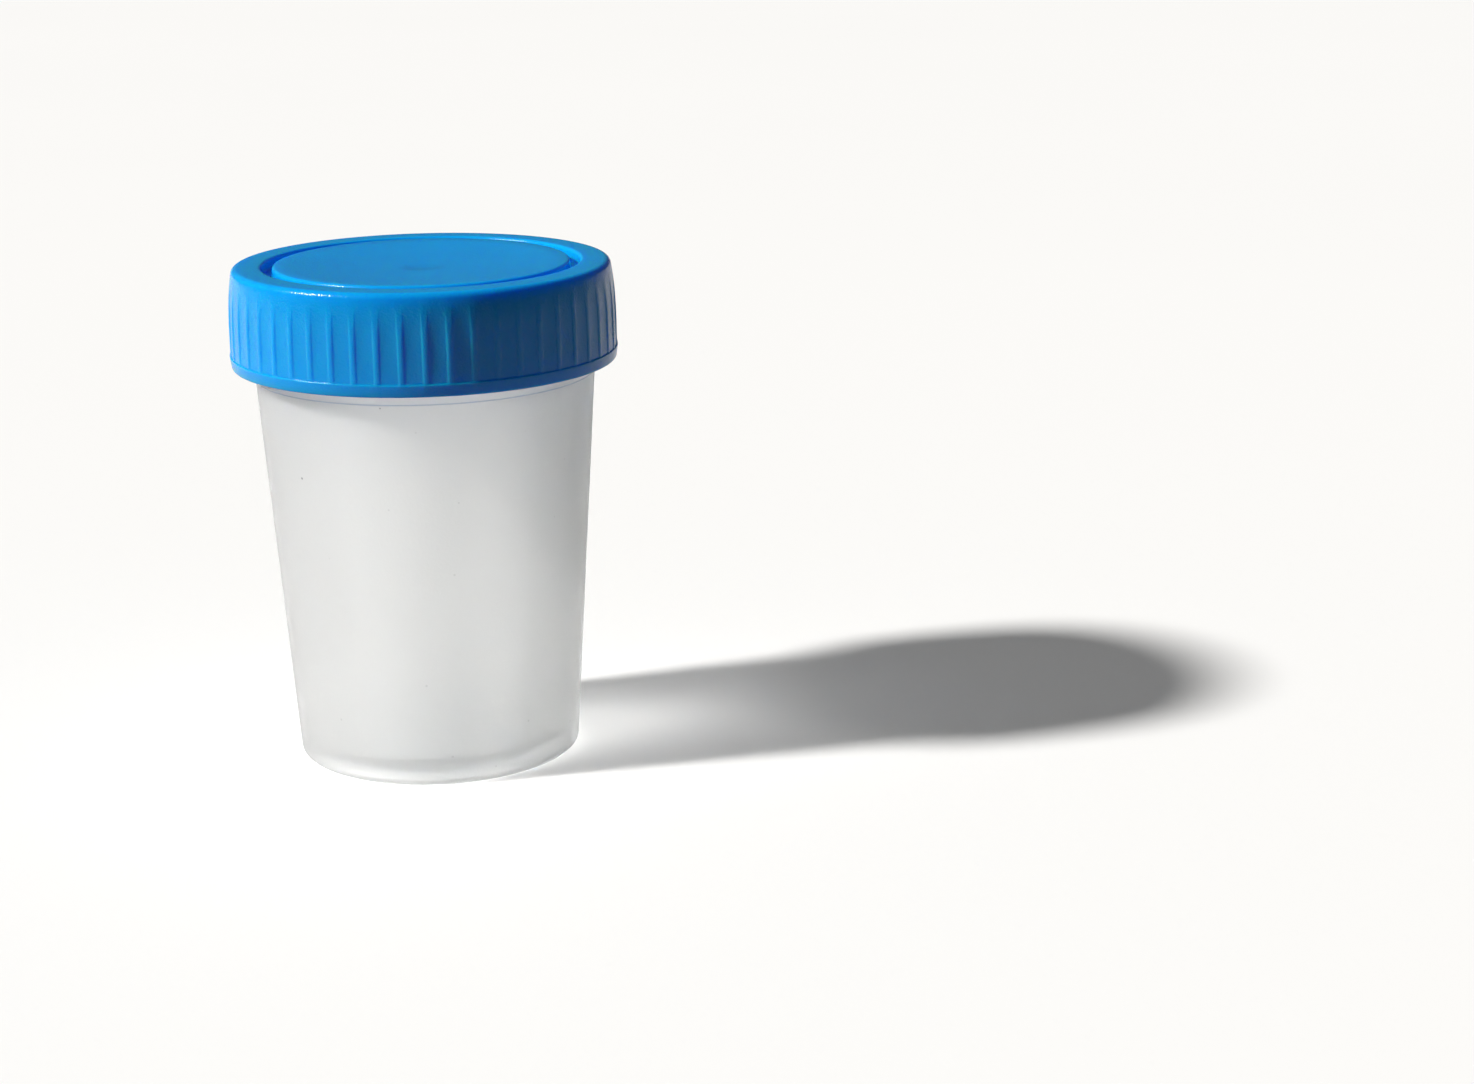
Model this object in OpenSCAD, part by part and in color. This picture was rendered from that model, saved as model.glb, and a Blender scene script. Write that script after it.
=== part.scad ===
// Specimen container: a tapered, translucent cup closed by a ribbed screw cap.
// Millimetres, +Z up. The origin is the centre of the foot that the cup stands on.

/* [Cup body] */
// Height of the cup from foot to rim
cup_h = 76.2; // [60:0.1:100]
// Outer diameter of the body at the foot
foot_d = 44.2; // [38:0.1:50]
// Wall of the tapered body, measured level
body_wall = 1.2; // [0.8:0.05:2]
// Thickness of the floor
floor_t = 1.25; // [0.8:0.05:2.5]
// Depth of the recess under the floor
recess_h = 1.5; // [0.5:0.1:3]
// Width of the flat ring that the cup stands on
foot_w = 1.5; // [1:0.1:3]
// Radius of the outer corner at the foot
foot_round = 1.2; // [0.6:0.1:2]
// Radius of the inner corner at the floor
floor_round = 2; // [0.8:0.1:4]
// Diameter of the moulding gate's dimple under the floor
cup_gate_d = 4; // [2:0.5:8]
// Depth of that dimple
cup_gate_h = 0.3; // [0.1:0.05:0.5]

/* [Cup neck] */
// Outer diameter of the neck between its threads
neck_d = 52.8; // [48:0.1:60]
// Height of the neck from its line to the rim
neck_h = 15.2; // [12:0.1:22]
// Wall of the neck
neck_wall = 1.1; // [0.9:0.05:1.6]
// How far the neck stands out from the body at its line
neck_step = 0.1; // [0.05:0.05:0.4]
// Height of the bevel under that step
neck_bevel = 0.25; // [0.1:0.05:0.6]
// Depth of the inner ledge below the neck line
ledge_drop = 1.4; // [0.5:0.1:3]
// Height of the slope at the inner ledge
ledge_slope = 0.8; // [0.3:0.1:2]
// Radius of the rim's two edges
rim_round = 0.3; // [0.1:0.05:0.4]

/* [Cap skirt] */
// Height of neck left bare below the cap
neck_show = 1.7; // [0.5:0.1:3]
// Radial room for the threads between neck and skirt
thread_room = 1.5; // [0.8:0.1:2]
// Wall of the skirt behind the grip
skirt_wall = 1.9; // [1.2:0.05:2.5]
// Height of the plain band at the skirt's lower edge
band_h = 1.95; // [1:0.05:3]
// How far the band draws in towards its lower edge
band_draft = 0.35; // [0.1:0.05:0.8]
// Radius of the skirt's lower outer edge
band_round = 0.3; // [0.1:0.05:0.6]
// Height of the lead-in bevel inside the lower edge
lead_h = 0.8; // [0.3:0.1:1.5]
// Depth of that bevel
lead_w = 0.5; // [0.2:0.1:1]
// Height of the straight grip between band and crowned shoulder
grip_straight = 2.9; // [1:0.1:5]
// Radius of the crowned shoulder
shoulder_r = 59; // [45:1:90]
// Radius of the rounded top edge
top_round = 1; // [0.5:0.1:1.5]

/* [Grip ribs] */
// Number of grip ribs
rib_count = 52; // [36:1:64]
// Height of a rib above the panels, measured at the band
rib_h = 0.2; // [0.1:0.05:0.4]
// Radius of a rib's rounded section
rib_r = 0.55; // [0.4:0.05:1]
// Width of a rib's crest, where it runs flush with the band
rib_crest_w = 0.2; // [0.1:0.05:0.4]
// How far the panels between the ribs lean in towards the top
panel_draft = 0.3; // [0.1:0.05:0.4]

/* [Cap top] */
// Thickness of the cap above the cup's rim
seat_t = 1.8; // [1.4:0.1:2.6]
// Thickness of the centre disc at its edge
disc_t = 1.4; // [1:0.05:1.8]
// Sag of the disc at its centre
disc_sag = 0.6; // [0.1:0.05:0.8]
// Width of the ring groove round the disc
groove_w = 1.6; // [1:0.1:2.5]
// Depth of the ring groove
groove_h = 1.5; // [0.8:0.1:1.8]
// Wall under and inside the groove
groove_wall = 1.2; // [0.8:0.1:1.6]
// Radius of the groove's upper edges
groove_round = 0.5; // [0.1:0.05:0.6]
// Diameter of the moulding gate's dimple in the disc
cap_gate_d = 5; // [3:0.5:8]
// Depth of that dimple
cap_gate_h = 0.25; // [0.1:0.05:0.4]

/* [Plug seal] */
// Clearance between plug and mouth
plug_gap = 0.2; // [0.1:0.05:0.4]
// Wall of the plug
plug_wall = 0.9; // [0.7:0.05:1.4]
// Depth that the plug reaches into the mouth
plug_h = 4; // [2:0.1:6]
// Wall left between the groove and the plug's outer face
groove_web = 0.6; // [0.5:0.05:1]
// Size of the lead-in bevel at the plug's tip
plug_bevel = 0.5; // [0.2:0.05:0.6]

/* [Hidden] */
$fn = 144;
small_fn = 48;
over = 1;
dish_steps = 10;

neck_r = neck_d / 2;
mouth_r = neck_r - neck_wall;
neck_z = cup_h - neck_h;
body_top_r = neck_r - neck_step;
foot_r = foot_d / 2;
taper = atan((body_top_r - foot_r) / neck_z);
floor_z = recess_h + floor_t;
ledge_z = neck_z - ledge_drop;

cap_top = cup_h + seat_t;
cap_bottom = neck_z + neck_show;
skirt_bore_r = neck_r + thread_room;
panel_r = skirt_bore_r + skirt_wall;
cap_r = panel_r + rib_h;
band_z = cap_bottom + band_h;
shoulder_z = band_z + grip_straight;
plug_r = mouth_r - plug_gap;
plug_tip = cup_h - plug_h;
groove_out_r = plug_r - groove_web;
disc_r = groove_out_r - groove_w;
groove_floor = cap_top - groove_h;

// Outer radius of the tapered body at height z
function body_r(z) = foot_r + z * tan(taper);

// Sag of the disc at distance x from the axis
function sag(x) = disc_sag * (1 - pow(x / (disc_r - groove_round), 2));

// Level distance from a tapered wall to the centre of a round of radius r in its corner
function corner_in(r) = r * (1 - sin(taper)) / cos(taper);

// Region from the axis to a tapered wall, from z0 to z1, with its lower corner rounded
module tapered_2d(wall_in, z0, z1, round_r) {
    corner_x = body_r(z0) - wall_in - corner_in(round_r);
    corner_z = z0 + round_r;
    polygon([
        [0, z0],
        [corner_x, z0],
        [corner_x + round_r * cos(taper), corner_z - round_r * sin(taper)],
        [body_r(z1) - wall_in, z1],
        [0, z1]
    ]);
    translate([corner_x, corner_z])
        circle(round_r, $fn = small_fn);
}

// Outer form of the body up to the bevel of the neck line
module body_outer_2d() {
    tapered_2d(0, 0, neck_z - neck_bevel, foot_round);
    polygon([
        [0, neck_z - neck_bevel],
        [body_r(neck_z - neck_bevel), neck_z - neck_bevel],
        [neck_r, neck_z],
        [0, neck_z]
    ]);
}

// Room inside the body, its ledge and the mouth
module bore_2d() {
    tapered_2d(body_wall, floor_z, ledge_z, floor_round);
    polygon([
        [0, ledge_z],
        [body_r(ledge_z) - body_wall, ledge_z],
        [mouth_r, ledge_z + ledge_slope],
        [mouth_r, cup_h + over],
        [0, cup_h + over]
    ]);
}

// Neck up to the start of its rounded rim
module neck_2d() {
    translate([0, neck_z])
        square([neck_r, neck_h - rim_round]);
}

// Rounded rim, with a flat seat between its two edges
module rim_2d() {
    rim_z = cup_h - rim_round;
    translate([mouth_r + rim_round, rim_z])
        square([neck_wall - 2 * rim_round, rim_round]);
    for (x = [mouth_r + rim_round, neck_r - rim_round])
        translate([x, rim_z])
            circle(rim_round, $fn = small_fn);
}

// Recess under the floor, with the gate's dimple
module foot_recess_2d() {
    recess_r = foot_r - corner_in(foot_round) - foot_w;
    translate([0, -over])
        square([recess_r, over + recess_h - foot_round / 2]);
    translate([0, -over])
        square([recess_r - foot_round / 2, over + recess_h]);
    translate([recess_r - foot_round / 2, recess_h - foot_round / 2])
        circle(foot_round / 2, $fn = small_fn);
    square([cup_gate_d / 2, recess_h + cup_gate_h]);
}

// Cup: foot, body, neck and rim, moulded in one piece
module cup() {
    color([0.90, 0.91, 0.90, 0.8])
        rotate_extrude()
            union() {
                difference() {
                    union() {
                        body_outer_2d();
                        neck_2d();
                    }
                    bore_2d();
                    foot_recess_2d();
                }
                rim_2d();
            }
}

// Outer form of the cap: band, straight grip, crowned shoulder and rounded top edge
module cap_outer_2d() {
    crown_x = cap_r - shoulder_r;
    edge_z = cap_top - top_round;
    edge_x = crown_x + sqrt(pow(shoulder_r - top_round, 2) - pow(edge_z - shoulder_z, 2));
    edge_a = asin((edge_z - shoulder_z) / (shoulder_r - top_round));
    band_x = cap_r - band_draft - band_round;
    polygon([
        [0, cap_bottom],
        [band_x, cap_bottom],
        [band_x + band_round, cap_bottom + band_round],
        [cap_r, band_z],
        [cap_r, shoulder_z],
        [0, shoulder_z]
    ]);
    translate([band_x, cap_bottom + band_round])
        circle(band_round, $fn = small_fn);
    intersection() {
        translate([crown_x, shoulder_z])
            circle(shoulder_r, $fn = 360);
        union() {
            translate([0, shoulder_z])
                square([cap_r, edge_z + top_round * sin(edge_a) - shoulder_z]);
            translate([0, shoulder_z])
                square([edge_x, cap_top - shoulder_z]);
        }
    }
    translate([edge_x, edge_z])
        circle(top_round, $fn = small_fn);
}

// Room under the cap: thread space, plug's inside and the hollow under the disc
module cap_inside_2d() {
    low = cap_bottom - over;
    trough_z = groove_floor - groove_wall;
    disc_under = cap_top - disc_t;
    translate([plug_r, low])
        square([skirt_bore_r - plug_r, cup_h - low]);
    translate([0, low])
        square([plug_r + over / 10, plug_tip - low]);
    translate([0, low])
        square([plug_r - plug_wall, trough_z - low]);
    polygon([
        [0, low],
        [disc_r - groove_wall, low],
        [disc_r - groove_wall, disc_under],
        [0, disc_under - disc_sag]
    ]);
    polygon([
        [skirt_bore_r - over, low],
        [skirt_bore_r + lead_w, low],
        [skirt_bore_r + lead_w, cap_bottom],
        [skirt_bore_r, cap_bottom + lead_h],
        [skirt_bore_r - over, cap_bottom + lead_h]
    ]);
    polygon([
        [plug_r - plug_bevel, plug_tip],
        [plug_r, plug_tip + 2 * plug_bevel],
        [plug_r + over / 10, plug_tip + 2 * plug_bevel],
        [plug_r + over / 10, plug_tip]
    ]);
}

// Ring groove with rounded upper edges
module groove_2d() {
    translate([disc_r, groove_floor])
        square([groove_w, groove_h + over]);
    difference() {
        translate([disc_r - groove_round, cap_top - groove_round])
            square([groove_w + 2 * groove_round, groove_round + over]);
        for (x = [disc_r - groove_round, groove_out_r + groove_round])
            translate([x, cap_top - groove_round])
                circle(groove_round, $fn = small_fn);
    }
}

// Shallow dish of the disc, with the gate's dimple at its centre
module dish_2d() {
    edge = disc_r - groove_round;
    polygon(concat(
        [[0, cap_top + over]],
        [for (i = [0 : dish_steps]) let (x = edge * i / dish_steps) [x, cap_top - sag(x)]],
        [[edge, cap_top + over]]
    ));
    polygon([
        [0, cap_top - disc_sag - cap_gate_h],
        [cap_gate_d / 2, cap_top - sag(cap_gate_d / 2)],
        [0, cap_top]
    ]);
}

// Panels between the grip ribs, as one ring-shaped cutter with a drafted inner face
module grip_panels() {
    difference() {
        rotate_extrude()
            polygon([
                [panel_r, band_z],
                [cap_r + over, band_z],
                [cap_r + over, cap_top + over],
                [panel_r - panel_draft, cap_top + over]
            ]);
        for (i = [0 : rib_count - 1])
            rotate(i * 360 / rib_count)
                translate([0, 0, band_z - over])
                    linear_extrude(cap_top - band_z + 3 * over)
                        rib_2d();
    }
}

// Plan of one rounded grip rib, which runs on past its crest for a clean cut
module rib_2d() {
    crest = rib_crest_w / 2;
    crest_x = sqrt(pow(cap_r, 2) - pow(crest, 2));
    centre_x = crest_x - sqrt(pow(rib_r, 2) - pow(crest, 2));
    translate([centre_x, 0])
        circle(rib_r, $fn = small_fn);
    translate([centre_x - over, -rib_r])
        square([over, 2 * rib_r]);
}

// Cap: top, groove, plug, skirt and grip ribs, moulded in one piece
module cap() {
    color([0.10, 0.42, 0.78])
        difference() {
            rotate_extrude()
                difference() {
                    cap_outer_2d();
                    cap_inside_2d();
                    groove_2d();
                    dish_2d();
                }
            grip_panels();
        }
}

cup();
cap();
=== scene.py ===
"""Specimen container: a translucent tapered cup with its ribbed screw cap, on a pale studio floor."""

import math

import bmesh
import bpy
from bpy.props import FloatProperty, FloatVectorProperty, IntProperty, PointerProperty
from mathutils import Matrix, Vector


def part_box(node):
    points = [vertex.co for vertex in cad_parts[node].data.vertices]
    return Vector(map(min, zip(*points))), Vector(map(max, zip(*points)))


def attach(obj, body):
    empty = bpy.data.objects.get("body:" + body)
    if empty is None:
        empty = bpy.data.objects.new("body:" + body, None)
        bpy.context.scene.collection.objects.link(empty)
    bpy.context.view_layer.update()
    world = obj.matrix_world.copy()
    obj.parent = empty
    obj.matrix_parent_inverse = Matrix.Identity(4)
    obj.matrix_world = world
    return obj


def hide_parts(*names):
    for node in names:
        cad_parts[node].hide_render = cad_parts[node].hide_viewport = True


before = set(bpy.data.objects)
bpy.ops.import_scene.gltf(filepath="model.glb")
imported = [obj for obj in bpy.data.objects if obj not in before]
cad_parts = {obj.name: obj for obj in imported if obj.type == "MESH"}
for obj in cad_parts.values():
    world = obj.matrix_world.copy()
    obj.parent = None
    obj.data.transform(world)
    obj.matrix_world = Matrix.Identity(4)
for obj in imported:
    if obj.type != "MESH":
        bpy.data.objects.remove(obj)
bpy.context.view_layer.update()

bl_info = {
    "name": "Specimen Container",
    "version": (1, 0, 0),
    "blender": (4, 5, 0),
    "location": "3D View > Sidebar > Container",
    "description": "Builds a screw-capped specimen container and a pale studio stage",
    "category": "Add Mesh",
}

MM = 0.001
CUP_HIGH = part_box("cup")[1]
CAP_LOW, CAP_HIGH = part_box("cap")
# Dust specks on the cup: degrees to the right of the front, height and radius in millimetres.
DUST = ((-49.3, 48.2, 0.28), (-15.4, 60.4, 0.2), (9.2, 45.5, 0.16))


def length(name, description, millimetres):
    """A size in metres, given by its value in millimetres."""
    return FloatProperty(
        name=name, description=description, default=millimetres * MM, unit="LENGTH", precision=5
    )


def angle(name, description, degrees):
    """An angle, given in degrees."""
    return FloatProperty(
        name=name, description=description, default=math.radians(degrees), subtype="ANGLE"
    )


def number(name, description, value, unit="NONE"):
    """A number that is no size in space."""
    return FloatProperty(name=name, description=description, default=value, unit=unit, min=0)


def whole(name, description, value, low):
    """A whole number, of low or more."""
    return IntProperty(name=name, description=description, default=value, subtype="UNSIGNED", min=low)


def colour(name, description, rgb):
    """A colour in linear light."""
    return FloatVectorProperty(
        name=name, description=description, default=rgb, size=3, subtype="COLOR", min=0, max=1
    )


class CupSettings(bpy.types.PropertyGroup):
    """Sizes and colour of the cup."""

    foot_radius: length("Foot radius", "Outer radius of the body at the foot", 22.1)
    body_wall: length("Body wall", "Wall of the tapered body, measured level", 1.2)
    floor_thickness: length("Floor", "Thickness of the floor", 1.25)
    recess_height: length("Recess", "Depth of the recess under the floor", 1.5)
    foot_width: length("Foot width", "Width of the flat ring that the cup stands on", 1.5)
    foot_round: length("Foot round", "Radius of the outer corner at the foot", 1.2)
    floor_round: length("Floor round", "Radius of the inner corner at the floor", 2.0)
    neck_height: length("Neck height", "Height of the neck from its line to the rim", 15.2)
    neck_wall: length("Neck wall", "Wall of the neck", 1.1)
    neck_step: length("Neck step", "How far the neck stands out from the body", 0.1)
    ledge_drop: length("Ledge drop", "Depth of the inner ledge below the neck line", 1.4)
    columns: whole("Columns", "Facets round the cup", 208, 24)
    plastic: colour("Plastic", "Colour of the natural plastic", (0.9, 0.905, 0.9))


class CapSettings(bpy.types.PropertyGroup):
    """Sizes and colour of the cap."""

    rib_count: whole("Ribs", "Number of grip ribs", 52, 12)
    rib_height: length("Rib height", "Height of a rib above the panels at the band", 0.2)
    rib_radius: length("Rib radius", "Radius of a rib's rounded section", 0.55)
    rib_crest: length("Rib crest", "Width of a rib's crest, flush with the band", 0.2)
    rib_soft: length("Rib softness", "Width over which rib, panel and crown blend", 0.3)
    panel_draft: length("Panel draft", "How far the panels lean in towards the top", 0.3)
    band_height: length("Band height", "Height of the plain band at the lower edge", 1.95)
    band_draft: length("Band draft", "How far the band draws in downwards", 0.25)
    straight: length("Straight grip", "Height of the straight grip above the band", 2.9)
    shoulder: length("Shoulder", "Radius of the crowned shoulder", 59.0)
    top_round: length("Top round", "Radius of the rounded top edge", 1.0)
    seat_thickness: length("Seat", "Thickness of the cap above the rim of the cup", 1.8)
    disc_thickness: length("Disc", "Thickness of the centre disc at its edge", 1.4)
    disc_sag: length("Disc sag", "Sag of the disc at its centre", 0.9)
    gate_radius: length("Gate radius", "Radius of the gate's soft dimple in the disc", 4.4)
    gate_depth: length("Gate depth", "Depth of the gate's dimple", 0.16)
    groove_width: length("Groove width", "Width of the ring groove", 1.6)
    groove_depth: length("Groove depth", "Depth of the ring groove", 1.5)
    groove_round: length("Groove round", "Radius of the groove's upper edges", 0.5)
    groove_web: length("Groove web", "Wall between the groove and the plug's face", 0.6)
    plug_gap: length("Plug gap", "Clearance between plug and mouth", 0.2)
    plug_wall: length("Plug wall", "Wall of the plug seal", 0.9)
    plug_depth: length("Plug depth", "Depth that the plug reaches into the mouth", 4.0)
    inner_wall: length("Inner wall", "Wall under and inside the groove", 1.2)
    plastic: colour("Plastic", "Colour of the blue plastic", (0.002, 0.33, 0.77))


class ThreadSettings(bpy.types.PropertyGroup):
    """Sizes of the screw thread shared by neck and cap."""

    room: length("Room", "Radial room between neck and skirt", 1.5)
    pitch: length("Pitch", "Rise of the thread in one turn", 4.6)
    root: length("Root width", "Width of a ridge at its root", 1.7)
    crest: length("Crest width", "Width of a ridge at its crest", 0.8)
    height: length("Ridge height", "Height of a ridge above its wall", 0.95)
    drop: length("Start drop", "Where the neck's ridge starts, below the rim of the cup", 9.4)
    start: angle("Start angle", "Where a ridge starts", 114.59156)
    turns: number("Turns", "Turns of each ridge", 1.4)
    lead_in: number("Lead-in", "Part of a ridge that fades at each end", 0.06)


class StageSettings(bpy.types.PropertyGroup):
    """Camera, light and floor."""

    camera_back: length("Camera distance", "Level distance from the axis to the camera", 436.4)
    camera_height: length("Camera height", "Height of the camera above the floor", 148.6)
    yaw: angle("Yaw", "Turn of the view to the right", 6.332)
    pitch: angle("Pitch", "Tilt of the view down", 14.998)
    roll: angle("Roll", "Roll of the view", -0.767)
    lens: number("Lens", "Focal length for a sensor 36 mm wide, in millimetres", 69.16, "CAMERA")
    key_azimuth: angle("Key azimuth", "Turn of the key light to the left of the camera", 80)
    key_elevation: angle("Key elevation", "Height of the key light above the horizon", 36)
    key_spread: angle("Key spread", "Apparent width of the key light", 6)
    key_strength: number("Key strength", "Strength of the key light", 5.0)
    key_colour: colour("Key colour", "Colour of the key light", (1.0, 0.985, 0.96))
    fill_strength: number("Fill strength", "Strength of the surrounding light", 0.07)
    floor_radius: length("Floor radius", "Radius of the floor", 4000)
    floor_colour: colour("Floor", "Colour of the floor", (0.98, 0.98, 0.975))
    floor_bounce: colour("Floor bounce", "Colour of the light that the floor throws back", (0.18, 0.18, 0.18))
    floor_glow: number("Floor glow", "Part of the white below the floor that shows through it", 0.13)


def add_node(tree, kind, settings=None, inputs=None):
    """Adds a node: its settings are set first, then the values or links of its sockets."""
    node = tree.nodes.new(kind)
    for name, value in (settings or {}).items():
        setattr(node, name, value)
    for key, value in (inputs or {}).items():
        socket = node.inputs[key]
        if isinstance(value, Term):
            value = value.socket
        if isinstance(value, bpy.types.NodeSocket):
            tree.links.new(value, socket)
        else:
            socket.default_value = value
    return node


class Term:
    """A number in a shader or a rule: arithmetic on it adds the Math nodes that it needs."""

    def __init__(self, socket):
        self.socket = socket
        self.tree = socket.id_data

    def join(self, operation, *values):
        """The result of one Math node."""
        inputs = dict(enumerate(values))
        return Term(add_node(self.tree, "ShaderNodeMath", {"operation": operation}, inputs).outputs[0])

    def __add__(self, other):
        return self.join("ADD", self, other)

    def __radd__(self, other):
        return self.join("ADD", other, self)

    def __sub__(self, other):
        return self.join("SUBTRACT", self, other)

    def __rsub__(self, other):
        return self.join("SUBTRACT", other, self)

    def __mul__(self, other):
        return self.join("MULTIPLY", self, other)

    def __truediv__(self, other):
        return self.join("DIVIDE", self, other)

    def absolute(self):
        return self.join("ABSOLUTE", self)

    def sign(self):
        return self.join("SIGN", self)

    def below(self, limit):
        """1 where the number is lower than a limit, and 0 elsewhere."""
        return self.join("LESS_THAN", self, limit)

    def capped(self):
        """The number, but 1 at most."""
        return self.join("MINIMUM", self, 1.0)

    def step(self, low, high):
        """Rises smoothly from 0 to 1 as the number goes from low to high."""
        inputs = {"Value": self, "From Min": low, "From Max": high}
        node = add_node(self.tree, "ShaderNodeMapRange", {"interpolation_type": "SMOOTHSTEP"}, inputs)
        return Term(node.outputs[0])


class Finish:
    """A material built round one Principled shader, with patterns on object coordinates."""

    def __init__(self, name, **constants):
        self.material = bpy.data.materials.new(name)
        self.material.use_nodes = True
        self.tree = self.material.node_tree
        self.shader = self.tree.nodes["Principled BSDF"]
        for key, value in constants.items():
            self.shader.inputs[key.replace("_", " ")].default_value = value
        self.place = self.add("ShaderNodeTexCoord").outputs["Object"]

    def add(self, kind, settings=None, inputs=None):
        return add_node(self.tree, kind, settings, inputs)

    def noise(self, cell, detail):
        """Noise from 0 to 1 with features about as wide as cell, in metres."""
        inputs = {"Vector": self.place, "Scale": 1 / cell, "Detail": detail}
        return Term(self.add("ShaderNodeTexNoise", inputs=inputs).outputs["Fac"])

    def grains(self, cell):
        """Distance to the nearest grain centre, as a part of the cell's width."""
        inputs = {"Vector": self.place, "Scale": 1 / cell}
        return Term(self.add("ShaderNodeTexVoronoi", inputs=inputs).outputs["Distance"])

    def near(self, point, radius):
        """1 at a point, falling to 0 at radius from it."""
        settings = {"operation": "DISTANCE"}
        away = self.add("ShaderNodeVectorMath", settings, {0: self.place, 1: point})
        return 1 - Term(away.outputs["Value"]).step(radius * 0.5, radius)

    def band(self, height, half):
        """1 at a height, falling to 0 at a distance of half above and below it."""
        z = Term(self.add("ShaderNodeSeparateXYZ", inputs={0: self.place}).outputs["Z"])
        return 1 - (z - height).absolute().step(half * 0.5, half)

    def blend(self, factor, first, second):
        """Colour between first and second."""
        inputs = {0: factor, 6: first, 7: second}
        return self.add("ShaderNodeMix", {"data_type": "RGBA"}, inputs).outputs[2]

    def set(self, name, value):
        """Feeds one of the shader's sockets."""
        self.tree.links.new(value.socket if isinstance(value, Term) else value, self.shader.inputs[name])

    def bump(self, height, depth):
        """Relief of height, a number from 0 to 1, over a depth in metres."""
        inputs = {"Height": height, "Distance": depth, "Strength": 1.0}
        self.set("Normal", self.add("ShaderNodeBump", inputs=inputs).outputs["Normal"])


def rgba(rgb, factor=1.0):
    """A shader colour from three numbers, made lighter or darker by a factor."""
    return tuple(min(1.0, c * factor) for c in rgb) + (1.0,)


def cup_plastic(cup):
    """Natural polypropylene: milky, see-through and satin, with a few dust specks and, at the neck step, a
    painted dark bluish line of shade and reflected blue cap.

    Shadow rays meet less of the plastic than other rays do, because a frosted wall passes scattered
    light that plain shadow rays would lose.
    """
    line_height = CUP_HIGH.z - cup.neck_height
    slope = (CUP_HIGH.x - cup.neck_step - cup.foot_radius) / line_height
    line_drop, line_half = 0.12 * MM, 0.14 * MM
    solid, lit_through = 0.8, 0.36
    # Painted shade and painted reflection: a thin dark bluish ring at the neck step stands for the step's
    # shade and the blue cap mirrored in it.
    step_shade_blue, step_shade_tone = (0.25, 0.4, 0.62), 0.6
    dust_grey, dust_tone = (0.05, 0.06, 0.08), 0.85
    mote_grey, mote_tone = (0.3, 0.3, 0.3), 0.35
    finish = Finish(
        "natural_polypropylene",
        IOR=1.49,
        Subsurface_Weight=1.0,
        Subsurface_Radius=(1.0, 1.0, 1.0),
        Subsurface_Scale=1 * MM,
        Transmission_Weight=0.85,
    )
    haze = finish.noise(22 * MM, 3.0)
    grain = finish.noise(0.5 * MM, 1.0)
    tint = finish.blend(haze, rgba(cup.plastic, 0.985), rgba(cup.plastic, 1.015))
    # Mask of this painted shade and reflection, a thin ring just below the neck step.
    line = finish.band(line_height - line_drop, line_half)
    tint = finish.blend(line * step_shade_tone, tint, rgba(step_shade_blue))
    for degrees, height, radius in DUST:
        azimuth = math.radians(degrees)
        reach = CUP_HIGH.x - (line_height - height * MM) * slope
        spot = (reach * math.sin(azimuth), -reach * math.cos(azimuth), height * MM)
        tint = finish.blend(finish.near(spot, radius * MM) * dust_tone, tint, rgba(dust_grey))
    motes = 1 - finish.grains(5 * MM).step(0.02, 0.05)
    finish.set("Base Color", finish.blend(motes * mote_tone, tint, rgba(mote_grey)))
    finish.set("Roughness", 0.52 + haze * 0.08 + grain * 0.06)
    shadow = Term(finish.add("ShaderNodeLightPath").outputs["Is Shadow Ray"])
    finish.set("Alpha", solid - shadow * lit_through)
    finish.bump(grain * 0.5 + finish.noise(6 * MM, 2.0) * 0.5, 0.04 * MM)
    return finish.material


def cap_plastic(cap):
    """Blue polypropylene with a semi-gloss, finely textured moulded surface, and painted shade darkening the
    gate's dimple.

    Blue light goes furthest inside the plastic, which keeps its shade blue and its ribs soft.
    """
    finish = Finish(
        "blue_polypropylene",
        IOR=1.49,
        Specular_IOR_Level=0.18,
        Subsurface_Weight=1.0,
        Subsurface_Radius=(0.15, 0.35, 1.0),
        Subsurface_Scale=3.5 * MM,
    )
    haze = finish.noise(12 * MM, 3.0)
    grain = finish.grains(0.35 * MM)
    gate = finish.near((0.0, 0.0, CAP_HIGH.z), cap.gate_radius)
    tint = finish.blend(haze, rgba(cap.plastic, 0.95), rgba(cap.plastic, 1.05))
    # Painted shade: the disc is darkened over the gate's dimple, standing for the shade inside the dimple.
    finish.set("Base Color", finish.blend(gate * 0.4, tint, rgba(cap.plastic, 0.7)))
    finish.set("Roughness", 0.13 + haze * 0.06 + grain * 0.08)
    finish.bump(grain * 0.7 + finish.noise(2.5 * MM, 2.0) * 0.3, 0.04 * MM)
    return finish.material


def floor_paper(stage):
    """Pale matt studio paper, which throws less light back at the object than it shows the camera.

    Seen rays also meet a little of the white world below it, which lightens the shadow.
    """
    finish = Finish("studio_paper", Specular_IOR_Level=0.2)
    cloud = finish.noise(350 * MM, 2.0)
    rgb = stage.floor_colour
    path = finish.add("ShaderNodeLightPath").outputs
    seen = Term(path["Is Camera Ray"]) + path["Is Glossy Ray"] + path["Is Transmission Ray"]
    seen = seen.capped()
    pale = finish.blend(cloud, rgba(rgb, 0.995), rgba(rgb, 1.005))
    finish.set("Base Color", finish.blend(seen, rgba(stage.floor_bounce), pale))
    finish.set("Roughness", 0.85 + cloud * 0.1)
    finish.set("Alpha", 1 - seen * stage.floor_glow)
    return finish.material


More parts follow.
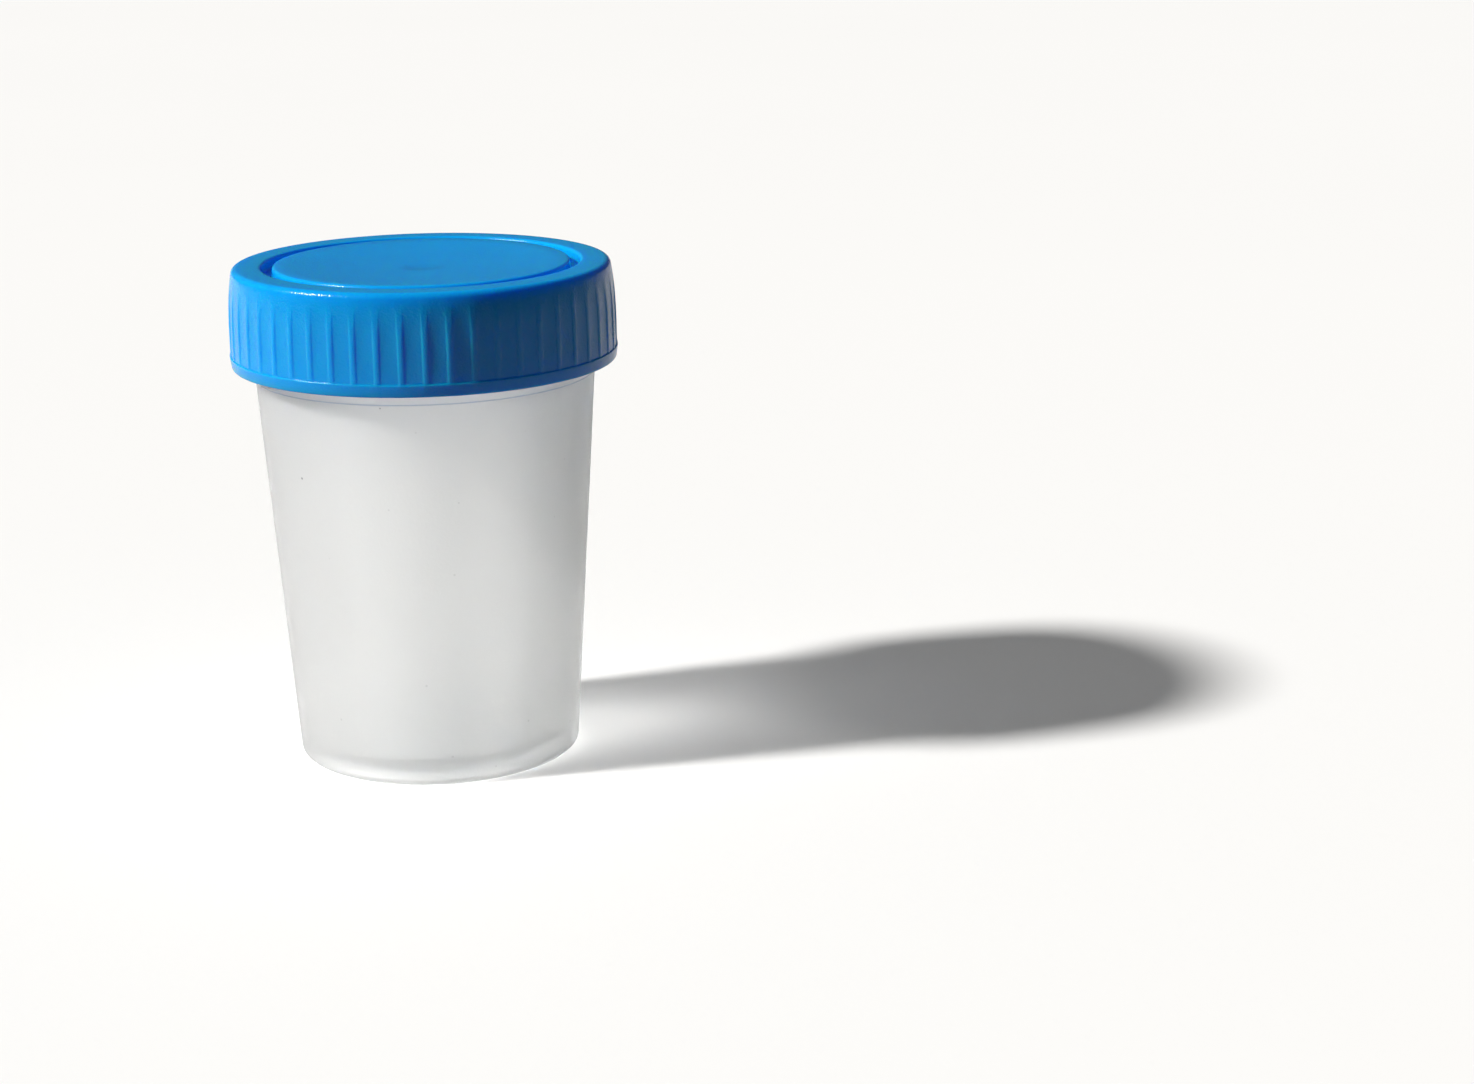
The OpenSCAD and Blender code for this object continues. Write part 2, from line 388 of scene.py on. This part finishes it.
def rounded(corners, steps=5, support=0.12 * MM):
    """Points (radius, height) of a section from corners (radius, height, round).

    Each round becomes an arc, and each long straight run gets a point near both of its ends,
    so that smooth shading stays flat along it.
    """
    straight = 1e-4
    points = [corners[0][:2]]
    for before, corner, after in zip(corners, corners[1:], corners[2:]):
        x, z, radius = corner
        to_before = math.hypot(before[0] - x, before[1] - z)
        to_after = math.hypot(after[0] - x, after[1] - z)
        u = ((before[0] - x) / to_before, (before[1] - z) / to_before)
        v = ((after[0] - x) / to_after, (after[1] - z) / to_after)
        inside = math.acos(max(-1.0, min(1.0, u[0] * v[0] + u[1] * v[1])))
        if not radius or math.pi - inside < straight:
            points.append((x, z))
            continue
        reach = radius / math.tan(inside / 2)
        middle = (u[0] + v[0], u[1] + v[1])
        size = math.hypot(*middle)
        away = radius / math.sin(inside / 2)
        centre = (x + middle[0] / size * away, z + middle[1] / size * away)
        start = math.atan2(z + u[1] * reach - centre[1], x + u[0] * reach - centre[0])
        turn = math.atan2(z + v[1] * reach - centre[1], x + v[0] * reach - centre[0]) - start
        turn = (turn + math.pi) % (2 * math.pi) - math.pi
        for i in range(steps + 1):
            a = start + turn * i / steps
            points.append((centre[0] + radius * math.cos(a), centre[1] + radius * math.sin(a)))
    points.append(corners[-1][:2])
    return supported(points, support)


def supported(points, support):
    """The points, with one more near both ends of each long run."""
    result = [points[0]]
    for a, b in zip(points, points[1:]):
        run = math.hypot(b[0] - a[0], b[1] - a[1])
        if run > 4 * support:
            for t in (support / run, 1 - support / run):
                result.append((a[0] + (b[0] - a[0]) * t, a[1] + (b[1] - a[1]) * t))
        result.append(b)
    return result


def revolved(name, rows, angles, closed=True):
    """A mesh of revolution from rows of (radius, height) or (radii, height, stride).

    Radii hold one radius for each angle. A row with a stride uses only every so many angles,
    so that plain stretches get fewer faces. If closed, the last angle joins the first.
    """
    mesh = bmesh.new()
    count = len(angles) if closed else len(angles) - 1
    rings = []
    for radius, height, *rest in rows:
        stride = rest[0] if rest else 1
        ring = {}
        for i in range(0, len(angles), stride):
            r = radius[i] if isinstance(radius, list) else radius
            if r or not ring:
                ring[i] = mesh.verts.new((r * math.cos(angles[i]), r * math.sin(angles[i]), height))
            else:
                ring[i] = ring[0]
        rings.append((ring, stride))
    for (low, low_stride), (high, high_stride) in zip(rings, rings[1:]):
        stride = max(low_stride, high_stride)
        for start in range(0, count, stride):
            corners = [low[(start + i) % len(angles)] for i in range(0, stride + 1, low_stride)]
            back = [high[(start + i) % len(angles)] for i in range(0, stride + 1, high_stride)]
            corners += reversed(back)
            corners = list(dict.fromkeys(corners))
            if len(corners) > 2:
                mesh.faces.new(corners)
    data = bpy.data.meshes.new(name)
    mesh.to_mesh(data)
    mesh.free()
    return data


def full_turn(count):
    """Angles of so many columns round the whole axis."""
    return [2 * math.pi * i / count for i in range(count)]


def cup_section(cup):
    """Corners of the cup's section, from the axis under the floor round to the axis above it."""
    neck = CUP_HIGH.x
    rim = CUP_HIGH.z
    line = rim - cup.neck_height
    body_top = neck - cup.neck_step
    slope = (body_top - cup.foot_radius) / line
    floor_top = cup.recess_height + cup.floor_thickness
    ledge = line - cup.ledge_drop
    ledge_rise = 0.8 * MM
    bevel = 0.25 * MM
    mouth = neck - cup.neck_wall
    flat = cup.foot_radius - cup.foot_round
    recess = flat - cup.foot_width
    gate, gate_depth = 2 * MM, 0.3 * MM
    edge, soft, rim_round = 0.15 * MM, 0.4 * MM, 0.3 * MM
    return [
        (0, cup.recess_height + gate_depth, 0),
        (gate, cup.recess_height + gate_depth, edge),
        (gate, cup.recess_height, edge),
        (recess, cup.recess_height, cup.foot_round / 2),
        (recess, 0, edge),
        (cup.foot_radius, 0, cup.foot_round),
        (cup.foot_radius + slope * (line - bevel), line - bevel, edge / 3),
        (neck, line, edge / 3),
        (neck, rim, rim_round),
        (mouth, rim, rim_round),
        (mouth, ledge + ledge_rise, soft),
        (cup.foot_radius + slope * ledge - cup.body_wall, ledge, soft),
        (cup.foot_radius + slope * floor_top - cup.body_wall, floor_top, cup.floor_round),
        (0, floor_top, 0),
    ]


def smooth(x):
    """0 below 0, 1 above 1, and a smooth rise between."""
    x = max(0.0, min(1.0, x))
    return x * x * (3 - 2 * x)


def soft_lower(a, b, soft):
    """The lower of two numbers, blended over soft where they meet; the higher if soft is negative."""
    blend = max(abs(soft) - abs(a - b), 0.0) / abs(soft)
    sharp = min(a, b) if soft > 0 else max(a, b)
    return sharp - blend * blend * soft / 4


class CapSection:
    """The section of the cap, and the radius of its ribbed grip at any height and place."""

    def __init__(self, cap, cup, thread):
        self.cap = cap
        self.top, self.bottom = CAP_HIGH.z, CAP_LOW.z
        self.outer = CAP_HIGH.x
        self.panel = self.outer - cap.rib_height
        self.band = self.bottom + cap.band_height
        self.draft_end = self.top + 1 * MM
        self.bore = CUP_HIGH.x + thread.room
        self.plug = CUP_HIGH.x - cup.neck_wall - cap.plug_gap
        self.groove_out = self.plug - cap.groove_web
        self.disc = self.groove_out - cap.groove_width
        self.shoulder_start = self.band + cap.straight
        self.crown = self.outer - cap.shoulder
        self.edge_z = self.top - cap.top_round
        rise = self.edge_z - self.shoulder_start
        self.edge_r = self.crown + math.sqrt((cap.shoulder - cap.top_round) ** 2 - rise**2)
        self.edge_angle = math.asin(rise / (cap.shoulder - cap.top_round))

    def envelope(self, z):
        """Radius over the crests of the ribs at height z."""
        rise = max(0.0, z - self.shoulder_start)
        return self.crown + math.sqrt(self.cap.shoulder**2 - rise**2)

    def dish(self, r):
        """Height of the disc's surface at radius r, with the gate's dimple at its centre."""
        cap = self.cap
        edge = self.disc - cap.groove_round
        sag = cap.disc_sag * (1 - (r / edge) ** 2)
        return self.top - sag - cap.gate_depth * (1 - smooth(r / cap.gate_radius))

    def grip(self, z, place):
        """Radius of the grip at height z, at a place along the surface from the middle of a rib."""
        cap = self.cap
        soft, almost = cap.rib_soft, 0.99
        crest = math.sqrt(cap.rib_radius**2 - cap.rib_crest**2 / 4)
        inside = min(abs(place), almost * cap.rib_radius)
        rib = self.outer - crest + math.sqrt(cap.rib_radius**2 - inside**2)
        lean = cap.panel_draft * (z - self.band) / (self.draft_end - self.band)
        wall = soft_lower(rib, self.panel - lean, -soft)
        return soft_lower(soft_lower(wall, self.outer, soft / 2), self.envelope(z), soft)

    def upper(self):
        """Points from the axis over the disc, the groove and the rim to the end of the top round."""
        soft = self.cap.groove_round
        edge = self.disc - soft
        rings = [0, 0.7, 1.4, 2.1, 2.8, 3.5, 4.2, 5, 7, 10, 13.5, 17, 20]
        points = [(r * MM, self.dish(r * MM)) for r in rings]
        floor, floor_round = self.top - self.cap.groove_depth, 0.3 * MM
        corners = [
            (edge, self.top, 0),
            (self.disc, self.top, soft),
            (self.disc, floor, floor_round),
            (self.groove_out, floor, floor_round),
            (self.groove_out, self.top, soft),
            (self.edge_r, self.top, 0),
        ]
        points += rounded(corners)[1:]
        steps, radius = 7, self.cap.top_round
        for i in range(1, steps + 1):
            a = math.pi / 2 + (self.edge_angle - math.pi / 2) * i / steps
            points.append((self.edge_r + radius * math.cos(a), self.edge_z + radius * math.sin(a)))
        return points

    def lower(self):
        """Points from the band's upper edge down, round the skirt and the plug, to the axis."""
        cap = self.cap
        seat = self.top - cap.seat_thickness
        trough = self.top - cap.groove_depth - cap.inner_wall
        under = self.top - cap.disc_thickness
        tip = seat - cap.plug_depth
        inner = self.plug - cap.plug_wall
        hollow = self.disc - cap.inner_wall
        lead_w, lead_h = 0.5 * MM, 0.8 * MM
        band_edge, edge, soft = 0.15 * MM, 0.12 * MM, 0.3 * MM
        return rounded(
            [
                (self.outer, self.band - band_edge, 0),
                (self.outer - cap.band_draft, self.bottom, soft),
                (self.bore + lead_w, self.bottom, soft),
                (self.bore, self.bottom + lead_h, edge),
                (self.bore, seat, soft),
                (self.plug, seat, edge),
                (self.plug, tip + 2 * soft, soft),
                (self.plug - 1.5 * soft, tip, edge),
                (inner, tip, edge),
                (inner, trough, soft),
                (hollow, trough, soft),
                (hollow, under, soft),
                (0, under - cap.disc_sag, 0),
            ],
            steps=4,
        )

    def sector(self, count):
        """Rows and angles of one rib with half a panel at each side.

        The ledge between the panels and the band gets three rows for its inner corner and two for its edge.
        """
        half = math.pi / count * self.outer
        sides = [part * self.cap.rib_radius for part in (0.2, 0.38, 0.53, 0.66, 0.76, 0.85, 0.95, 1.15)]
        sides.append(half)
        places = [-p for p in reversed(sides)] + [0.0] + sides
        angles = [p / self.outer for p in places]
        plain = len(sides) * 2 // 3
        start = self.edge_z + self.cap.top_round * math.sin(self.edge_angle)
        steps = 24
        corner, half_corner, above_band = 0.08 * MM, 0.025 * MM, 0.2 * MM
        low = self.band + above_band
        rows = [(r, z, plain) for r, z in self.upper()]
        for i in range(1, steps + 1):
            z = start + (low - start) * i / steps
            rows.append(([self.grip(z, place) for place in places], z, 1))
        foot = [self.grip(low, place) for place in places]
        for inset, rise in ((0.0, corner), (half_corner, half_corner), (corner, 0.0)):
            radii = [min(self.outer - corner, r + inset) for r in foot]
            rows.append((radii, self.band + rise, 1))
        for inset, drop in ((corner, 0.0), (half_corner, half_corner)):
            radii = [max(self.outer - inset, r) for r in foot]
            rows.append((radii, self.band - drop, 1))
        rows += [(r, z, plain) for r, z in self.lower()]
        rows.reverse()
        return rows, angles


class Rule:
    """A Geometry Nodes tree with named inputs."""

    def __init__(self, name, inputs):
        self.tree = bpy.data.node_groups.new(name, "GeometryNodeTree")
        self.names = {}
        self.tree.interface.new_socket("Geometry", in_out="INPUT", socket_type="NodeSocketGeometry")
        for label, kind in inputs.items():
            item = self.tree.interface.new_socket(label, in_out="INPUT", socket_type="NodeSocket" + kind)
            self.names[label] = item.identifier
        self.tree.interface.new_socket("Geometry", in_out="OUTPUT", socket_type="NodeSocketGeometry")
        self.given = add_node(self.tree, "NodeGroupInput").outputs
        self.result = add_node(self.tree, "NodeGroupOutput").inputs[0]

    def add(self, kind, settings=None, inputs=None):
        return add_node(self.tree, kind, settings, inputs).outputs[0]

    def end(self, geometry):
        """Realizes the result, shades it smooth and gives it its material."""
        real = self.add("GeometryNodeRealizeInstances", inputs={"Geometry": geometry})
        soft = self.add("GeometryNodeSetShadeSmooth", inputs={"Geometry": real})
        inputs = {"Geometry": soft, "Material": self.given["Material"]}
        self.tree.links.new(self.add("GeometryNodeSetMaterial", inputs=inputs), self.result)


def round_axis_rule():
    """Repeats a sector round the vertical axis and welds the copies into one skin."""
    rule = Rule("repeat_round_axis", {"Count": "Int", "Weld": "Float", "Material": "Material"})
    given = rule.given
    points = rule.add("GeometryNodePoints", inputs={"Count": given["Count"]})
    turn = Term(rule.add("GeometryNodeInputIndex")) * (2 * math.pi) / given["Count"]
    spin = rule.add("ShaderNodeCombineXYZ", inputs={"Z": turn})
    inputs = {"Points": points, "Instance": given["Geometry"], "Rotation": spin}
    copies = rule.add("GeometryNodeInstanceOnPoints", inputs=inputs)
    real = rule.add("GeometryNodeRealizeInstances", inputs={"Geometry": copies})
    rule.end(rule.add("GeometryNodeMergeByDistance", inputs={"Geometry": real, "Distance": given["Weld"]}))
    return rule


def thread_rule():
    """Winds a tapering ridge round the vertical axis and unites it with the piece that carries it.

    A ridge height below zero points the ridge at the axis.
    """
    numbers = ("Wall Radius", "Start Height", "Start Angle", "Pitch", "Turns", "Root Width")
    numbers += ("Crest Width", "Ridge Height", "Lead In")
    rule = Rule("screw_thread", {**{name: "Float" for name in numbers}, "Material": "Material"})
    given = rule.given
    sunk, edge, thinnest = 0.3 * MM, 0.15 * MM, 0.05
    height = Term(given["Ridge Height"])
    side = height.sign()
    radius = Term(given["Wall Radius"]) - side * sunk
    steps_in_turn, steps_in_edge = 96, 2
    helix = rule.add(
        "GeometryNodeCurveSpiral",
        inputs={
            "Resolution": steps_in_turn,
            "Rotations": given["Turns"],
            "Start Radius": radius,
            "End Radius": radius,
            "Height": Term(given["Pitch"]) * given["Turns"],
            "Reverse": True,
        },
    )
    level = rule.add("GeometryNodeSetCurveNormal", {"mode": "Z_UP"}, {"Curve": helix})
    along = Term(rule.add("GeometryNodeSplineParameter"))
    lead = Term(given["Lead In"])
    fade = along.step(0.0, lead) * (1 - along.step(1 - lead, 1.0))
    tall = height.absolute() + sunk
    section = rule.add(
        "GeometryNodeCurvePrimitiveQuadrilateral",
        {"mode": "TRAPEZOID"},
        {
            "Height": tall,
            "Bottom Width": given["Root Width"],
            "Top Width": given["Crest Width"],
            "Offset": 0.0,
        },
    )
    fillet = {"Curve": section, "Count": steps_in_edge, "Radius": edge}
    outwards = rule.add(
        "GeometryNodeTransform",
        inputs={
            "Geometry": rule.add("GeometryNodeFilletCurve", {"mode": "POLY"}, fillet),
            "Rotation": (0, 0, -math.pi / 2),
            "Translation": rule.add("ShaderNodeCombineXYZ", inputs={"X": tall * 0.5}),
        },
    )
    turned = rule.add(
        "GeometryNodeTransform",
        inputs={
            "Geometry": outwards,
            "Scale": rule.add("ShaderNodeCombineXYZ", inputs={"X": side, "Y": 1.0, "Z": 1.0}),
        },
    )
    scale = thinnest + fade * (1 - thinnest)
    ridge = rule.add(
        "GeometryNodeCurveToMesh",
        inputs={"Curve": level, "Profile Curve": turned, "Scale": scale, "Fill Caps": True},
    )
    faced = rule.add("GeometryNodeFlipFaces", inputs={"Mesh": ridge, "Selection": side.below(0.0)})
    placed = rule.add(
        "GeometryNodeTransform",
        inputs={
            "Geometry": faced,
            "Translation": rule.add("ShaderNodeCombineXYZ", inputs={"Z": given["Start Height"]}),
            "Rotation": rule.add("ShaderNodeCombineXYZ", inputs={"Z": given["Start Angle"]}),
        },
    )
    union = add_node(rule.tree, "GeometryNodeMeshBoolean", {"operation": "UNION", "solver": "MANIFOLD"})
    rule.tree.links.new(given["Geometry"], union.inputs["Mesh 2"])
    rule.tree.links.new(placed, union.inputs["Mesh 2"])
    rule.end(union.outputs["Mesh"])
    return rule


def worked_out(name, data, steps, material):
    """The mesh that rules make of a piece's mesh in turn, as a plain object with no modifier."""
    data.materials.append(material)
    piece = bpy.data.objects.new(name, data)
    bpy.context.scene.collection.objects.link(piece)
    for rule, values in steps:
        modifier = piece.modifiers.new(rule.tree.name, "NODES")
        modifier.node_group = rule.tree
        for label, value in {**values, "Material": material}.items():
            modifier[rule.names[label]] = value
    graph = bpy.context.evaluated_depsgraph_get()
    result = bpy.data.meshes.new_from_object(piece.evaluated_get(graph))
    if not result.polygons:
        raise RuntimeError(f"The rules left {name} without faces")
    piece.modifiers.clear()
    piece.data = result
    result.name = name
    return piece


def thread_values(thread, wall, start, side):
    """Inputs of the thread rule for a wall: side is 1 for an outer thread and -1 for an inner one."""
    return {
        "Wall Radius": wall,
        "Start Height": start,
        "Start Angle": thread.start,
        "Pitch": thread.pitch,
        "Turns": thread.turns,
        "Root Width": thread.root,
        "Crest Width": thread.crest,
        "Ridge Height": side * thread.height,
        "Lead In": thread.lead_in,
    }


class SPECIMEN_OT_cup(bpy.types.Operator):
    """Build the translucent cup with its threaded neck."""

    bl_idname = "specimen.cup"
    bl_label = "Cup"

    def execute(self, context):
        scene = context.scene
        cup = scene.specimen_cup
        thread = scene.specimen_thread
        material = cup_plastic(cup)
        data = revolved("cup_plain", rounded(cup_section(cup)), full_turn(cup.columns))
        ridge = thread_values(thread, CUP_HIGH.x, CUP_HIGH.z - thread.drop, 1)
        piece = worked_out("moulded_cup", data, [(thread_rule(), ridge)], material)
        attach(piece, "cup")
        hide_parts("cup")
        return {"FINISHED"}


class SPECIMEN_OT_cap(bpy.types.Operator):
    """Build the blue screw cap with its grip ribs, ring groove and plug seal."""

    bl_idname = "specimen.cap"
    bl_label = "Cap"

    def execute(self, context):
        scene = context.scene
        cap = scene.specimen_cap
        thread = scene.specimen_thread
        material = cap_plastic(cap)
        section = CapSection(cap, scene.specimen_cup, thread)
        rows, angles = section.sector(cap.rib_count)
        data = revolved("cap_sector", rows, angles, closed=False)
        weld = 0.002 * MM
        copies = {"Count": cap.rib_count, "Weld": weld}
        low = CUP_HIGH.z - thread.drop - thread.pitch / 2
        ridge = thread_values(thread, section.bore, low, -1)
        steps = [(round_axis_rule(), copies), (thread_rule(), ridge)]
        piece = worked_out("moulded_cap", data, steps, material)
        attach(piece, "cap")
        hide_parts("cap")
        return {"FINISHED"}


class SPECIMEN_OT_stage(bpy.types.Operator):
    """Build the floor, the lights and the camera."""

    bl_idname = "specimen.stage"
    bl_label = "Stage"

    def execute(self, context):
        scene = context.scene
        stage = scene.specimen_stage
        self.lay_floor(scene, stage)
        self.light(scene, stage)
        self.surround(scene, stage)
        self.aim_camera(scene, stage)
        scene.view_settings.view_transform = "Standard"
        return {"FINISHED"}

    def lay_floor(self, scene, stage):
        """A round floor, wide enough to fill the view."""
        columns = 96
        rows = [(part * stage.floor_radius, 0.0) for part in (0.0, 0.02, 0.1, 0.4, 1.0)]
        data = revolved("floor", rows, full_turn(columns))
        data.materials.append(floor_paper(stage))
        floor = bpy.data.objects.new("floor", data)
        scene.collection.objects.link(floor)

    def light(self, scene, stage):
        """The key light, from the left and a little in front."""
        lamp = bpy.data.lights.new("key", "SUN")
        lamp.energy = stage.key_strength
        lamp.angle = stage.key_spread
        lamp.color = stage.key_colour
        key = bpy.data.objects.new("key", lamp)
        turn = Matrix.Rotation(-stage.key_azimuth, 4, "Z")
        tilt = Matrix.Rotation(math.pi / 2 - stage.key_elevation, 4, "X")
        key.matrix_world = turn @ tilt
        scene.collection.objects.link(key)

    def surround(self, scene, stage):
        """Even fill light, which the camera sees as white, also through clear plastic."""
        world = bpy.data.worlds.new("studio")
        scene.world = world
        world.use_nodes = True
        path = add_node(world.node_tree, "ShaderNodeLightPath").outputs
        seen = (Term(path["Is Camera Ray"]) + path["Is Transmission Ray"]).capped()
        sky = world.node_tree.nodes["Background"]
        sky.inputs["Color"].default_value = (1, 1, 1, 1)
        strength = stage.fill_strength + seen * (1 - stage.fill_strength)
        world.node_tree.links.new(strength.socket, sky.inputs["Strength"])

    def aim_camera(self, scene, stage):
        """The camera, which stands in front of the object and looks a little down."""
        data = bpy.data.cameras.new("view")
        data.sensor_width = 36
        data.lens = stage.lens
        data.clip_start = 10 * MM
        camera = bpy.data.objects.new("view", data)
        yaw, pitch = stage.yaw, stage.pitch
        turn = Matrix.Rotation(-yaw, 4, "Z") @ Matrix.Rotation(math.pi / 2 - pitch, 4, "X")
        roll = Matrix.Rotation(stage.roll, 4, "Z")
        place = Matrix.Translation((0, -stage.camera_back, stage.camera_height))
        camera.matrix_world = place @ turn @ roll
        scene.collection.objects.link(camera)
        scene.camera = camera


class SPECIMEN_PT_panel(bpy.types.Panel):
    """Panel that lists the pieces of the container and its stage."""

    bl_idname = "SPECIMEN_PT_panel"
    bl_label = "Specimen Container"
    bl_space_type = "VIEW_3D"
    bl_region_type = "UI"
    bl_category = "Container"

    def draw(self, context):
        scene = context.scene
        for group, operator in (
            (scene.specimen_thread, None),
            (scene.specimen_cup, SPECIMEN_OT_cup),
            (scene.specimen_cap, SPECIMEN_OT_cap),
            (scene.specimen_stage, SPECIMEN_OT_stage),
        ):
            box = self.layout.box()
            for name in group.__annotations__:
                box.prop(group, name)
            if operator:
                box.operator(operator.bl_idname)


SETTINGS = {
    "specimen_cup": CupSettings,
    "specimen_cap": CapSettings,
    "specimen_thread": ThreadSettings,
    "specimen_stage": StageSettings,
}
CLASSES = (*SETTINGS.values(), SPECIMEN_OT_cup, SPECIMEN_OT_cap, SPECIMEN_OT_stage, SPECIMEN_PT_panel)


def register():
    for cls in CLASSES:
        bpy.utils.register_class(cls)
    for name, group in SETTINGS.items():
        setattr(bpy.types.Scene, name, PointerProperty(type=group))


def unregister():
    for name in SETTINGS:
        delattr(bpy.types.Scene, name)
    for cls in reversed(CLASSES):
        bpy.utils.unregister_class(cls)


def main():
    register()
    bpy.ops.specimen.stage()
    bpy.ops.specimen.cup()
    bpy.ops.specimen.cap()


if __name__ == "__main__":
    main()
